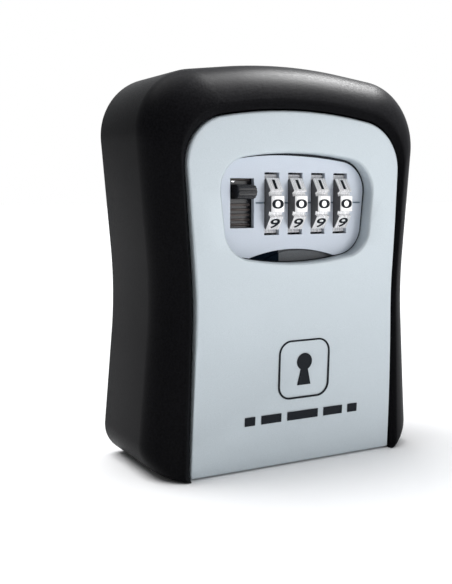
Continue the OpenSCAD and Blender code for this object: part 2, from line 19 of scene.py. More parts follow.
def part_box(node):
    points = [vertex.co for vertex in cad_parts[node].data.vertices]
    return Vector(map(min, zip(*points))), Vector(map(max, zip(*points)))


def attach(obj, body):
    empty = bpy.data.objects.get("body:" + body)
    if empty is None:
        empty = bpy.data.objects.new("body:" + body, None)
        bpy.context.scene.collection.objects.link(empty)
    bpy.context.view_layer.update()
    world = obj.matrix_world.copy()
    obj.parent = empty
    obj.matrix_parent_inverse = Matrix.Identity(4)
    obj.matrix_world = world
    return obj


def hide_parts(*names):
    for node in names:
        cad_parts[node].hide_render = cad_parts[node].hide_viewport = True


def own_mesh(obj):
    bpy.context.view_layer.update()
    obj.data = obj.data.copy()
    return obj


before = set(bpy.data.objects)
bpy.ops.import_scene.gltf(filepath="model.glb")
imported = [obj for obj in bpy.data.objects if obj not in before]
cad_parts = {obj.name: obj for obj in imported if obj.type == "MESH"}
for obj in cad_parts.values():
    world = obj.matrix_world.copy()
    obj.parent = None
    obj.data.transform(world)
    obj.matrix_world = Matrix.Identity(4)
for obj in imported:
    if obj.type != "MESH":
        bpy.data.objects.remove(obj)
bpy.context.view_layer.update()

LOG = logging.getLogger("lock_box")
MM = 0.001
TOP_LIGHT = "top_band"
DIGITS = 10
BRUSH_LENGTH = 40.0    # length of a brush mark, in widths
BLOTCH_SCALE = 38.0    # slow changes of tone, per metre
CONTRAST = (2.4, -0.7)  # factor and offset that spread the grain's noise over 0 to 1
WELD_REACH = 1e-7      # metres
SEAM_REACH = 2e-6      # metres, between the sectors of a wheel
FLAT_WITHIN = 0.6      # degrees between triangles of one flat face
ROUNDED_FROM = 35.0    # degrees; sharper edges are rounded
Corner = tuple[float, float, float]
Colour = tuple[float, float, float]


# ---- Node trees ------------------------------------------------------------------------------


class Socket:
    """One output of a node, with the arithmetic that adds Math nodes behind it."""

    def __init__(self, tree: "NodeTree", link: bpy.types.NodeSocket) -> None:
        """Keeps the tree and the output that the value comes from."""
        self.tree = tree
        self.link = link

    def math(self, operation: str, *others: Any) -> "Socket":
        """Adds a Math node.

        Args:
            operation: the Math node's operation.
            others: the second and third values, sockets or numbers.

        Returns:
            The result's socket.
        """
        values = dict(enumerate((self, *others)))
        return self.tree.node("ShaderNodeMath", {"operation": operation}, values)

    def clamped(self) -> "Socket":
        """The value held between 0 and 1."""
        return self.math("MAXIMUM", 0.0).math("MINIMUM", 1.0)

    def _reflected(self, operation: str, other: Any) -> "Socket":
        """Adds a Math node with the number on the left."""
        return self.tree.node("ShaderNodeMath", {"operation": operation}, {0: other, 1: self})

    def __add__(self, other: Any) -> "Socket":
        """self + other"""
        return self.math("ADD", other)

    def __sub__(self, other: Any) -> "Socket":
        """self - other"""
        return self.math("SUBTRACT", other)

    def __mul__(self, other: Any) -> "Socket":
        """self * other"""
        return self.math("MULTIPLY", other)

    def __truediv__(self, other: Any) -> "Socket":
        """self / other"""
        return self.math("DIVIDE", other)

    def __rsub__(self, other: Any) -> "Socket":
        """other - self"""
        return self._reflected("SUBTRACT", other)

    def __rtruediv__(self, other: Any) -> "Socket":
        """other / self"""
        return self._reflected("DIVIDE", other)

    __radd__ = __add__
    __rmul__ = __mul__


class NodeTree:
    """A shader or geometry tree being built."""

    def __init__(self, tree: bpy.types.NodeTree) -> None:
        """Empties the tree and keeps it."""
        tree.nodes.clear()
        self.tree = tree

    def node(self, kind: str, settings: dict[str, Any] | None = None,
             inputs: dict[int | str, Any] | None = None, out: int | str = 0) -> Socket | None:
        """Adds any node.

        Args:
            kind: the node's type.
            settings: its properties, set first.
            inputs: values or sockets by input name or number.
            out: which output is wanted.

        Returns:
            That output, or None for a node without outputs.
        """
        made = self.tree.nodes.new(kind)
        for name, value in (settings or {}).items():
            setattr(made, name, value)
        for key, value in (inputs or {}).items():
            if isinstance(value, Socket):
                self.tree.links.new(value.link, made.inputs[key])
            else:
                made.inputs[key].default_value = value
        return Socket(self, made.outputs[out]) if len(made.outputs) else None

    def mix(self, factor: Any, first: Any, second: Any) -> Socket:
        """Mixes two colours by a factor."""
        pair = [c if isinstance(c, Socket) else (*c, 1.0) for c in (first, second)]
        return self.node("ShaderNodeMix", {"data_type": "RGBA"},
                         {0: factor, 6: pair[0], 7: pair[1]}, out=2)


# ---- Finishes --------------------------------------------------------------------------------


def new_material(name: str) -> tuple[Material, NodeTree]:
    """A new material and its empty tree."""
    made = bpy.data.materials.new(name)
    made.use_nodes = True
    return made, NodeTree(made.node_tree)


class Grain(Enum):
    """How the fine surface of a finish is broken up."""

    PEEL = "peel"
    FLAKE = "flake"
    BRUSHED_X = "brushed across"
    CAST = "cast"
    TURNED = "turned"


@dataclass(frozen=True)
class Finish:
    """One surface finish and the material made from it.

    Fields give the darker and lighter colour that the grain moves between, the lowest and highest
    roughness, how metallic it is, the grain's kind and size in millimetres, its bump height, and
    how strongly it mirrors at right angles.
    """

    name: str
    dark: Colour
    light: Colour
    roughness: tuple[float, float]
    metallic: float
    grain: Grain
    grain_mm: float
    bump_mm: float
    specular: float = 0.5

    def _stretch(self) -> tuple[float, float, float]:
        """Scale of the grain along X, Y and Z."""
        across = 1.0 / (self.grain_mm * MM)
        along = across / BRUSH_LENGTH
        if self.grain is Grain.BRUSHED_X:
            return (along, across, across)
        if self.grain is Grain.TURNED:
            return (across, along, along)
        return (across, across, across)

    def material(self) -> Material:
        """Builds the material once and returns it.

        Returns:
            The node-based material of this finish.
        """
        known = bpy.data.materials.get("finish_" + self.name)
        if known:
            return known
        made, tree = new_material("finish_" + self.name)
        place = tree.node("ShaderNodeTexCoord", out="Object")
        grained = tree.node("ShaderNodeMapping", {"vector_type": "POINT"},
                            {"Vector": place, "Scale": self._stretch()})
        fine = tree.node("ShaderNodeTexNoise", {}, {"Vector": grained, "Scale": 1.0, "Detail": 3.0,
                                                    "Roughness": 0.55})
        broad = tree.node("ShaderNodeTexNoise", {}, {"Vector": place, "Scale": BLOTCH_SCALE,
                                                     "Detail": 2.0})
        low, high = self.roughness
        spread = fine.math("MULTIPLY_ADD", *CONTRAST).clamped()
        blotch = (broad - 0.5) * 0.5
        colour = tree.mix((spread + blotch).clamped(), self.dark, self.light)
        rough = (low + spread * (high - low) + blotch * (high - low)).math("MAXIMUM", 0.02)
        normal = tree.node("ShaderNodeBump", {}, {"Strength": 1.0, "Distance": self.bump_mm * MM,
                                                  "Height": fine})
        shader = tree.node("ShaderNodeBsdfPrincipled", {}, {
            "Base Color": colour, "Roughness": rough, "Metallic": self.metallic,
            "Specular IOR Level": self.specular, "Normal": normal})
        tree.node("ShaderNodeOutputMaterial", {}, {"Surface": shader})
        return made


POWDER_BLACK = Finish("powder_black", (0.0025, 0.0025, 0.003), (0.006, 0.006, 0.007),
                      (0.33, 0.45), 0.0, Grain.PEEL, 0.55, 0.03, specular=0.022)
SILVER_PAINT = Finish("silver_paint", (0.49, 0.55, 0.585), (0.585, 0.645, 0.685),
                      (0.38, 0.5), 0.2, Grain.FLAKE, 0.16, 0.004)
PLATE_SILVER = Finish("plate_silver", (0.48, 0.53, 0.605), (0.57, 0.62, 0.69),
                      (0.34, 0.44), 0.15, Grain.FLAKE, 0.2, 0.003)
CHROME = Finish("chrome", (0.78, 0.78, 0.79), (0.88, 0.88, 0.89),
                (0.2, 0.32), 0.3, Grain.TURNED, 0.12, 0.002)
WHEEL_SIDE = Finish("wheel_side", (0.10, 0.10, 0.105), (0.16, 0.16, 0.165),
                    (0.4, 0.55), 0.3, Grain.CAST, 0.25, 0.004)
# painted shade and painted highlight: the lens insert is darkened as shade, its off-centre pad is a
# lighter grey highlight
SHADED_DARK_GLOSS = Finish("dark_gloss", (0.003, 0.006, 0.012), (0.006, 0.011, 0.019),
                    (0.3, 0.42), 0.0, Grain.CAST, 0.4, 0.004, specular=0.0)
LENS_HIGHLIGHT_GREY = Finish("lens_grey", (0.11, 0.116, 0.124), (0.145, 0.152, 0.16),
                   (0.4, 0.5), 0.0, Grain.CAST, 0.3, 0.006, specular=0.1)
BUTTON_BLACK = Finish("button_black", (0.008, 0.009, 0.012), (0.02, 0.02, 0.022),
                      (0.22, 0.38), 0.0, Grain.CAST, 0.35, 0.01)
# painted highlight: the ribs are a lighter brown than the black slide, for the highlights along
# their ridges
RIB_HIGHLIGHT_BROWN = Finish("rib_brown", (0.06, 0.05, 0.048), (0.15, 0.125, 0.115),
                   (0.3, 0.42), 0.2, Grain.BRUSHED_X, 0.3, 0.012)
ZINC = Finish("zinc", (0.36, 0.37, 0.38), (0.52, 0.53, 0.54),
              (0.3, 0.5), 1.0, Grain.BRUSHED_X, 0.25, 0.006)
SCREW_STEEL = Finish("screw_steel", (0.42, 0.43, 0.45), (0.6, 0.61, 0.62),
                     (0.2, 0.34), 1.0, Grain.CAST, 0.3, 0.004)
SPRING_STEEL = Finish("spring_steel", (0.38, 0.39, 0.4), (0.55, 0.56, 0.57),
                      (0.22, 0.34), 1.0, Grain.CAST, 0.2, 0.003)
PIN_STEEL = Finish("pin_steel", (0.4, 0.41, 0.42), (0.58, 0.59, 0.6),
                   (0.2, 0.32), 1.0, Grain.TURNED, 0.15, 0.003)
DARK_STEEL = Finish("dark_steel", (0.06, 0.062, 0.068), (0.12, 0.122, 0.13),
                    (0.3, 0.42), 1.0, Grain.CAST, 0.3, 0.005)
BRASS = Finish("brass", (0.55, 0.38, 0.12), (0.74, 0.56, 0.24),
               (0.24, 0.38), 1.0, Grain.TURNED, 0.15, 0.003)
LINE_BLUE = Finish("line_blue", (0.10, 0.15, 0.20), (0.16, 0.22, 0.28),
                   (0.4, 0.55), 0.0, Grain.CAST, 0.2, 0.002)
INK = Finish("ink", (0.006, 0.008, 0.012), (0.012, 0.015, 0.02),
             (0.45, 0.6), 0.0, Grain.CAST, 0.2, 0.002, specular=0.12)


# ---- Outlines and meshes ---------------------------------------------------------------------


def unit(v: np.ndarray) -> np.ndarray:
    """The vector at length one."""
    return v / np.linalg.norm(v)


@dataclass(frozen=True)
class Outline:
    """Closed outline in X and Z, counter-clockwise, from corners with a fillet radius each."""

    corners: tuple[Corner, ...]
    arc_steps: int = 26
    side_steps: int = 20

    @classmethod
    def mirrored(cls, half: Sequence[Corner]) -> "Outline":
        """Whole outline from its right half, whose last corner is on the centre line."""
        back = [(-x, z, r) for x, z, r in reversed(half[:-1])]
        return cls(tuple(half) + tuple(back))

    def inset(self, d: float) -> "Outline":
        """Moves every side in by d and keeps the fillets parallel.

        Args:
            d: distance in millimetres, negative to grow.

        Returns:
            The new outline.
        """
        p = [np.array(c[:2], float) for c in self.corners]
        n = len(p)
        moved = []
        for i, (x, z, r) in enumerate(self.corners):
            u, v = unit(p[i] - p[i - 1]), unit(p[(i + 1) % n] - p[i])
            nu, nv = np.array([-u[1], u[0]]), np.array([-v[1], v[0]])
            q = p[i] + d * (nu + nv) / (1 + nu @ nv)
            hollow = u[0] * v[1] - u[1] * v[0] < 0
            moved.append((q[0], q[1], 0.0 if r <= 0 else max(0.05, r + (d if hollow else -d))))
        return Outline(tuple(moved), self.arc_steps, self.side_steps)

    def blend(self, other: "Outline", t: float) -> "Outline":
        """Corner-by-corner mix with another outline."""
        mixed = tuple(tuple(a * (1 - t) + b * t for a, b in zip(c, e))
                      for c, e in zip(self.corners, other.corners))
        return Outline(mixed, self.arc_steps, self.side_steps)

    def ring(self) -> np.ndarray:
        """Points round the outline; outlines with like corners give matching points.

        Returns:
            An array of N rows of X and Z.
        """
        p = [np.array(c[:2], float) for c in self.corners]
        n = len(p)
        arcs = []
        for i, (_, _, r) in enumerate(self.corners):
            if r <= 0:
                arcs.append([p[i]])
                continue
            u, v = unit(p[i - 1] - p[i]), unit(p[(i + 1) % n] - p[i])
            half = math.acos(float(np.clip(u @ v, -1, 1))) / 2
            centre = p[i] + unit(u + v) * r / math.sin(half)
            s, e = p[i] + u * r / math.tan(half) - centre, p[i] + v * r / math.tan(half) - centre
            start = math.atan2(s[1], s[0])
            turn = (math.atan2(e[1], e[0]) - start + 3 * math.pi) % (2 * math.pi) - math.pi
            arcs.append([centre + r * np.array([math.cos(start + turn * k / self.arc_steps),
                                                math.sin(start + turn * k / self.arc_steps)])
                         for k in range(self.arc_steps + 1)])
        points = []
        for i, arc in enumerate(arcs):
            points.extend(arc)
            a, b = arc[-1], arcs[(i + 1) % n][0]
            points.extend(a + (b - a) * k / self.side_steps for k in range(1, self.side_steps))
        return np.array(points)


def rounded_box(x: tuple[float, float], z: tuple[float, float], turn: float) -> Outline:
    """A rectangle's outline between two X and two Z, its corners rounded by a radius."""
    corners = ((x[1], z[0], turn), (x[1], z[1], turn), (x[0], z[1], turn), (x[0], z[0], turn))
    return Outline(corners, 12, 4)


def cast_rays(outline: Outline, centre: np.ndarray, toward: np.ndarray) -> np.ndarray:
    """Where rays from a centre through given points meet an outline.

    Args:
        outline: an outline that can be seen whole from the centre.
        centre: X and Z of the centre.
        toward: N points, one per ray.

    Returns:
        For each ray a row of segment number and place along it, to sample like outlines with.
    """
    ring = outline.ring()
    after = np.roll(ring, -1, axis=0)
    found = []
    for point in toward - centre:
        cross_a = point[0] * (ring[:, 1] - centre[1]) - point[1] * (ring[:, 0] - centre[0])
        cross_b = point[0] * (after[:, 1] - centre[1]) - point[1] * (after[:, 0] - centre[0])
        ahead = (ring - centre) @ point > 0
        hits = np.where(ahead & (cross_a <= 0) & (cross_b > 0))[0]
        k = int(hits[0])
        found.append((k, cross_a[k] / (cross_a[k] - cross_b[k])))
    return np.array(found)


def sample(outline: Outline, places: np.ndarray) -> np.ndarray:
    """Points of an outline at segment numbers and places along them."""
    ring = outline.ring()
    k = places[:, 0].astype(int)
    t = places[:, 1:2]
    return ring[k] * (1 - t) + ring[(k + 1) % len(ring)] * t


def at_depth(ring: np.ndarray, y: float | np.ndarray) -> np.ndarray:
    """Lifts X and Z points into space at a depth Y, in millimetres."""
    return np.column_stack([ring[:, 0], np.broadcast_to(y, len(ring)), ring[:, 1]])


def coordinates(mesh: Mesh) -> np.ndarray:
    """A mesh's points in metres, one row each."""
    co = np.zeros(len(mesh.vertices) * 3)
    mesh.vertices.foreach_get("co", co)
    return co.reshape(-1, 3)


@contextmanager
def editing(mesh: Mesh) -> Iterator[bmesh.types.BMesh]:
    """Opens a mesh for editing and writes it back."""
    work = bmesh.new()
    work.from_mesh(mesh)
    yield work
    work.to_mesh(mesh)
    work.free()


def link(name: str, data: bpy.types.ID) -> Object:
    """Puts a mesh, light, camera or text into the scene as an object at the origin."""
    made = bpy.data.objects.new(name, data)
    bpy.context.scene.collection.objects.link(made)
    return made


def face_outward(mesh: Mesh) -> None:
    """Turns a closed mesh's faces outward."""
    with editing(mesh) as work:
        bmesh.ops.recalc_face_normals(work, faces=work.faces)


def weld(mesh: Mesh) -> None:
    """Merges points that lie on each other."""
    with editing(mesh) as work:
        bmesh.ops.remove_doubles(work, verts=work.verts, dist=WELD_REACH)


def mesh_object(name: str, points: np.ndarray, faces: Sequence[Sequence[int]],
                outward: bool = True) -> Object:
    """Makes an object from points in millimetres.

    Args:
        name: the object's name.
        points: N rows of X, Y and Z.
        faces: point numbers of each face.
        outward: whether the normals are worked out again for a closed shape.

    Returns:
        The linked object.
    """
    mesh = bpy.data.meshes.new(name)
    mesh.from_pydata((points * MM).tolist(), [], [list(f) for f in faces])
    if outward:
        face_outward(mesh)
    return link(name, mesh)


def quads(rows: int, n: int) -> list[tuple[int, ...]]:
    """Faces between rows of n points, where each row is a closed ring."""
    return [(j * n + i, j * n + (i + 1) % n, (j + 1) * n + (i + 1) % n, (j + 1) * n + i)
            for j in range(rows - 1) for i in range(n)]


def loft(name: str, rings: Sequence[np.ndarray]) -> Object:
    """Joins rings of points, each with as many points as the next, into one closed skin.

    Args:
        name: the object's name.
        rings: arrays of N points in millimetres.

    Returns:
        The linked object.
    """
    n = len(rings[0])
    faces = quads(len(rings), n)
    faces += [tuple(range(n)), tuple((len(rings) - 1) * n + i for i in range(n))]
    return mesh_object(name, np.concatenate(rings), faces)


def block(name: str, low: Sequence[float], high: Sequence[float]) -> Object:
    """A box between two corners, for cutting and joining."""
    corners = np.array([[x, y, z] for z in (low[2], high[2]) for y in (low[1], high[1])
                        for x in (low[0], high[0])])
    faces = [(0, 2, 3, 1), (4, 5, 7, 6), (0, 1, 5, 4), (2, 6, 7, 3), (0, 4, 6, 2), (1, 3, 7, 5)]
    return mesh_object(name, corners, faces)


def evaluated(made: Object) -> Mesh:
    """The mesh that an object's modifiers give."""
    bpy.context.view_layer.update()
    graph = bpy.context.evaluated_depsgraph_get()
    return bpy.data.meshes.new_from_object(made.evaluated_get(graph), depsgraph=graph)


def settle(made: Object) -> Object:
    """Swaps an object's mesh for what its modifiers give and takes them off."""
    mesh = evaluated(made)
    made.modifiers.clear()
    made.data = mesh
    return made


def combine(made: Object, tool: Object, operation: str) -> Object:
    """Cuts, joins or intersects an object with a tool, which is used up.

    Args:
        made: the closed object that is changed.
        tool: the closed object that changes it.
        operation: DIFFERENCE, UNION or INTERSECT.

    Returns:
        The changed object.
    """
    step = made.modifiers.new("combine", "BOOLEAN")
    step.operation, step.solver, step.object = operation, "MANIFOLD", tool
    settle(made)
    bpy.data.objects.remove(tool)
    return made


def cad_copy(node: str, name: str) -> Object:
    """A closed copy of a CAD node's mesh under a new name."""
    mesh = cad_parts[node].data.copy()
    weld(mesh)
    if mesh.has_custom_normals:
        for corner_normals in [a for a in mesh.attributes if a.name == "custom_normal"]:
            mesh.attributes.remove(corner_normals)
    mesh.materials.clear()
    mesh.name = name
    return link(name, mesh)


def join(pieces: Sequence[Object]) -> Object:
    """Puts closed shells into the first object's mesh; the others are used up."""
    with editing(pieces[0].data) as work:
        for piece in pieces[1:]:
            work.from_mesh(piece.data)
    for piece in pieces[1:]:
        bpy.data.objects.remove(piece)
    return pieces[0]


def smooth(made: Object, degrees: float) -> None:
    """Shades an object smooth, with edges sharper than the angle kept."""
    made.data.polygons.foreach_set("use_smooth", [True] * len(made.data.polygons))
    made.data.set_sharp_from_angle(angle=math.radians(degrees))


@dataclass
class Piece:
    """One finished object: what it rides on, what it stands for, and its finish."""

    made: Object
    body: str
    slot: str
    finish: Finish
    stands_for: tuple[str, ...] = ()

    def place(self) -> Object:
        """Dresses the object and hands it to the frame.

        Returns:
            The object.
        """
        self.made.data.materials.clear()
        self.made.data.materials.append(self.finish.material())
        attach(self.made, self.body)
        if self.stands_for:
            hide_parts(*self.stands_for)
        LOG.info("%s: %d faces, %s", self.made.name, len(self.made.data.polygons), self.finish.name)
        return self.made


# ---- Geometry Nodes rules --------------------------------------------------------------------


class Rule:
    """A geometry tree with named inputs that is run once on an object."""

    def __init__(self, name: str, inputs: dict[str, str]) -> None:
        """Starts the tree.

        Args:
            name: the tree's name.
            inputs: socket type by input name.
        """
        self.group = bpy.data.node_groups.new(name, "GeometryNodeTree")
        self.tree = NodeTree(self.group)
        face = self.group.interface
        face.new_socket("Geometry", in_out="INPUT", socket_type="NodeSocketGeometry")
        face.new_socket("Geometry", in_out="OUTPUT", socket_type="NodeSocketGeometry")
        for label, kind in inputs.items():
            face.new_socket(label, in_out="INPUT", socket_type=kind)
        entry = self.group.nodes.new("NodeGroupInput")
        self.given = {s.name: Socket(self.tree, s) for s in entry.outputs if s.name}

    def finish(self, geometry: Socket, material: Material) -> None:
        """Ends the tree in Realize Instances and Set Material."""
        real = self.tree.node("GeometryNodeRealizeInstances", {}, {"Geometry": geometry})
        dressed = self.tree.node("GeometryNodeSetMaterial", {},
                                 {"Geometry": real, "Material": material})
        self.tree.node("NodeGroupOutput", {}, {"Geometry": dressed})

    def run(self, made: Object, values: dict[str, Any]) -> Object:
        """Runs the tree on an object and keeps the plain mesh.

        Args:
            made: the object whose mesh goes in.
            values: value by input name.

        Returns:
            The object with the finished mesh.
        """
        step = made.modifiers.new(self.group.name, "NODES")
        step.node_group = self.group
        for item in self.group.interface.items_tree:
            if item.in_out == "INPUT" and item.name in values:
                step[item.identifier] = values[item.name]
        return settle(made)


class RolledRim(Rule):
    """Rolls rings of points from the side of the body over to the crest of its rim."""

    def __init__(self, material: Material) -> None:
        """Builds the tree: each point knows its place outside, inside and along the roll."""
        super().__init__("rolled_rim", {label: "NodeSocketFloat" for label in (
            "Roll Angle", "Share", "Side Depth", "Crest Depth")})
        tree, given = self.tree, self.given
        outer, inner, turn = (
            tree.node("GeometryNodeInputNamedAttribute", {"data_type": kind}, {"Name": label})
            for label, kind in (("outer", "FLOAT_VECTOR"), ("inner", "FLOAT_VECTOR"),
                                ("turn", "FLOAT")))
        whole, side = given["Roll Angle"], given["Side Depth"]
        angle = turn * whole
        share = given["Share"] * (1.0 - angle.math("COSINE")) / (1.0 - whole.math("COSINE"))
        depth = side + (given["Crest Depth"] - side) * angle.math("SINE") / whole.math("SINE")
        across = tree.node("ShaderNodeMix", {"data_type": "VECTOR"},
                           {0: share, 4: outer, 5: inner}, out=1)
        lifted = tree.node("ShaderNodeCombineXYZ", {}, {"Y": depth})
        position = tree.node("ShaderNodeVectorMath", {"operation": "ADD"}, {0: across, 1: lifted})
        rolling = tree.node("FunctionNodeCompare", {"operation": "GREATER_EQUAL"},
                            {"A": turn, "B": 0.0})
        moved = tree.node("GeometryNodeSetPosition", {}, {
            "Geometry": given["Geometry"], "Selection": rolling, "Position": position})
        self.finish(moved, material)


class SectorWheel(Rule):
    """Repeats one sector of a wheel round the X axis and welds the seams."""

    def __init__(self, material: Material) -> None:
        """Builds the tree; the sector is the geometry that goes in."""
        super().__init__("sector_wheel", {"Count": "NodeSocketInt", "Axis": "NodeSocketVector"})
        tree, given = self.tree, self.given
        places = tree.node("GeometryNodePoints", {}, {"Count": given["Count"]})
        step = 2 * math.pi / given["Count"]
        turn = tree.node("GeometryNodeInputIndex") * step
        spin = tree.node("ShaderNodeCombineXYZ", {}, {"X": turn})
        copies = tree.node("GeometryNodeInstanceOnPoints", {}, {
            "Points": places, "Instance": given["Geometry"], "Rotation": spin})
        real = tree.node("GeometryNodeRealizeInstances", {}, {"Geometry": copies})
        welded = tree.node("GeometryNodeMergeByDistance", {},
                           {"Geometry": real, "Distance": SEAM_REACH})
        placed = tree.node("GeometryNodeTransform", {},
                           {"Geometry": welded, "Translation": given["Axis"]})
        self.finish(placed, material)


class CopiesOnPoints(Rule):
    """Puts a copy of one part on every point of the geometry that goes in."""

    def __init__(self, material: Material) -> None:
        """Builds the tree."""
        super().__init__("copies_on_points", {"Part": "NodeSocketObject"})
        tree, given = self.tree, self.given
        part = tree.node("GeometryNodeObjectInfo", {}, {"Object": given["Part"]}, out="Geometry")
        copies = tree.node("GeometryNodeInstanceOnPoints", {},
                           {"Points": given["Geometry"], "Instance": part})
        self.finish(copies, material)


def repeat(name: str, part: Object, places: Sequence[Sequence[float]], finish: Finish) -> Object:
    """Makes one object out of copies of a part.

    Args:
        name: the object's name.
        part: the part, which is used up.
        places: X, Y and Z of each copy in millimetres.
        finish: what the copies are made of.

    Returns:
        The object.
    """
    made = mesh_object(name, np.array(places, float), [], outward=False)
    CopiesOnPoints(finish.material()).run(made, {"Part": part})
    bpy.data.objects.remove(part)
    return made


# ---- Studio ----------------------------------------------------------------------------------


@dataclass(frozen=True)
class Softbox:
    """One square-on area light: its place, the point it faces and its two sides, in metres."""

    name: str
    place: tuple[float, float, float]
    aim: tuple[float, float, float]
    sides: tuple[float, float]
    watts: float

    def build(self) -> None:
        """Adds the light."""
        data = bpy.data.lights.new(self.name, "AREA")
        data.shape, data.size, data.size_y = "RECTANGLE", *self.sides
        data.energy = self.watts
        made = link(self.name, data)
        made.location = self.place
        toward = Vector(self.aim) - Vector(self.place)
        made.rotation_euler = toward.to_track_quat("-Z", "Y").to_euler()


@dataclass
class Studio:
    """Camera, floor and soft lights."""

    lens: float = 54.74
    sensor: float = 36.0
    shift: tuple[float, float] = (-0.0372, -0.0074)
    eye: tuple[float, float, float] = (-141.77, -239.73, 82.76)
    turn: float = 29.42
    tilt: float = 6.31
    roll: float = 0.196
    floor_half: float = 4000.0
    sky_low: float = 0.03
    sky_rise: float = 0.85
    bright_side: tuple[float, float, float] = (0.5, 0.42, 0.75)
    sky_turn: float = 0.12
    overhead: float = 2.7
    overhead_spread: float = 50.0
    overhead_way: tuple[float, float, float] = (0.22, -0.28, -1.0)
    boxes: tuple[Softbox, ...] = (
        Softbox("front", (0.5, -0.68, 0.17), (0.0, 0.0, 0.06), (0.5, 0.4), 1.9),
        Softbox("left_fill", (-0.4, -0.62, 0.16), (0.0, 0.0, 0.07), (0.4, 0.4), 0.2),
        Softbox(TOP_LIGHT, (0.32, 0.04, 0.57), (0.0, 0.0, 0.11), (0.24, 0.24), 18.0))

    def camera(self) -> None:
        """Makes the camera the view is taken from."""
        data = bpy.data.cameras.new("camera")
        data.lens, data.sensor_width = self.lens, self.sensor
        data.shift_x, data.shift_y = self.shift
        data.clip_start, data.clip_end = 0.005, 50.0
        data.dof.use_dof = False
        made = link("camera", data)
        a, p = math.radians(self.turn), math.radians(self.tilt)
        ahead = Vector((math.sin(a) * math.cos(p), math.cos(a) * math.cos(p), -math.sin(p)))
        right = Vector((math.cos(a), -math.sin(a), 0.0))
        up = right.cross(ahead)
        facing = Matrix((right, up, -ahead)).transposed().to_4x4()
        made.matrix_world = (Matrix.Translation(Vector(self.eye) * MM) @ facing
                             @ Matrix.Rotation(math.radians(self.roll), 4, "Z"))
        bpy.context.scene.camera = made

    def floor(self) -> None:
        """Makes the plain pale floor."""
        half = self.floor_half
        corners = half * np.array([[-1, -1, 0], [1, -1, 0], [1, 1, 0], [-1, 1, 0]])
        made = mesh_object("floor", corners, [(0, 1, 2, 3)], outward=False)
        material, tree = new_material("floor")
        place = tree.node("ShaderNodeTexCoord", out="Object")
        speck = tree.node("ShaderNodeTexNoise", {}, {"Vector": place, "Scale": 30.0, "Detail": 2.0})
        shade = tree.mix(speck, (0.93, 0.93, 0.94), (0.95, 0.95, 0.955))
        shader = tree.node("ShaderNodeBsdfPrincipled", {}, {"Base Color": shade, "Roughness": 0.7,
                                                            "Specular IOR Level": 0.2})
        tree.node("ShaderNodeOutputMaterial", {}, {"Surface": shader})
        made.data.materials.append(material)

    def lights(self) -> None:
        """Adds the soft lights and the pale surroundings."""
        world = bpy.data.worlds.new("studio")
        bpy.context.scene.world = world
        world.use_nodes = True
        tree = NodeTree(world.node_tree)
        way = tree.node("ShaderNodeTexCoord", out="Generated")
        toward = tree.node("ShaderNodeVectorMath", {"operation": "DOT_PRODUCT"},
                           {0: way, 1: self.bright_side}, out="Value")
        rise = (toward + self.sky_turn).clamped()
        strength = self.sky_low + rise * self.sky_rise
        sky = tree.node("ShaderNodeBackground", {},
                        {"Color": (0.97, 0.985, 1.0, 1.0), "Strength": strength})
        backdrop = tree.node("ShaderNodeBackground", {},
                             {"Color": (1.0, 1.0, 1.0, 1.0), "Strength": 1.0})
        seen = tree.node("ShaderNodeLightPath", out="Is Camera Ray")
        both = tree.node("ShaderNodeMixShader", {}, {0: seen, 1: sky, 2: backdrop})
        tree.node("ShaderNodeOutputWorld", {}, {"Surface": both})
        sun = bpy.data.lights.new("overhead", "SUN")
        sun.energy, sun.angle = self.overhead, math.radians(self.overhead_spread)
        high = link("overhead", sun)
        high.rotation_euler = Vector(self.overhead_way).to_track_quat("-Z", "Y").to_euler()
        for box in self.boxes:
            box.build()
        bpy.context.scene.view_settings.view_transform = "Standard"

    def build(self) -> None:
        """Makes the whole studio."""
        self.camera()
        self.floor()
        self.lights()


# ---- Body ------------------------------------------------------------------------------------


@dataclass(frozen=True)
class BodyForm:
    """Sizes that the housing and the door share."""

    front_y: float = -20.3
    back_y: float = 20.3
    side_y: float = -7.7
    crest_y: float = -19.9
    catch_y: float = -8.7
    plate_y: float = -15.4
    crown_z: float = 54.0
    crown_r: float = 730.0
    gap: float = 0.3
    dial_z: float = 78.6
    body: tuple[Corner, ...] = (
        (47.95, 0.0, 9.4), (43.2, 52.0, 150.0), (48.5, 114.57, 18.3), (0.0, 120.62, 160.0))
    rim: tuple[Corner, ...] = (
        (35.75, 0.0, 1.0), (34.3, 52.0, 150.0), (37.6, 101.47, 14.3), (0.0, 108.02, 137.0))
    recess: tuple[Corner, ...] = (
        (0.0, 60.3, 90.0), (24.2, 64.0, 9.0), (26.8, 90.5, 9.5), (0.0, 94.6, 110.0))

    def crown(self, z: np.ndarray | float) -> np.ndarray | float:
        """Depth of the door's face at a height."""
        return self.front_y + (z - self.crown_z) ** 2 / (2 * self.crown_r)


FORM = BodyForm()


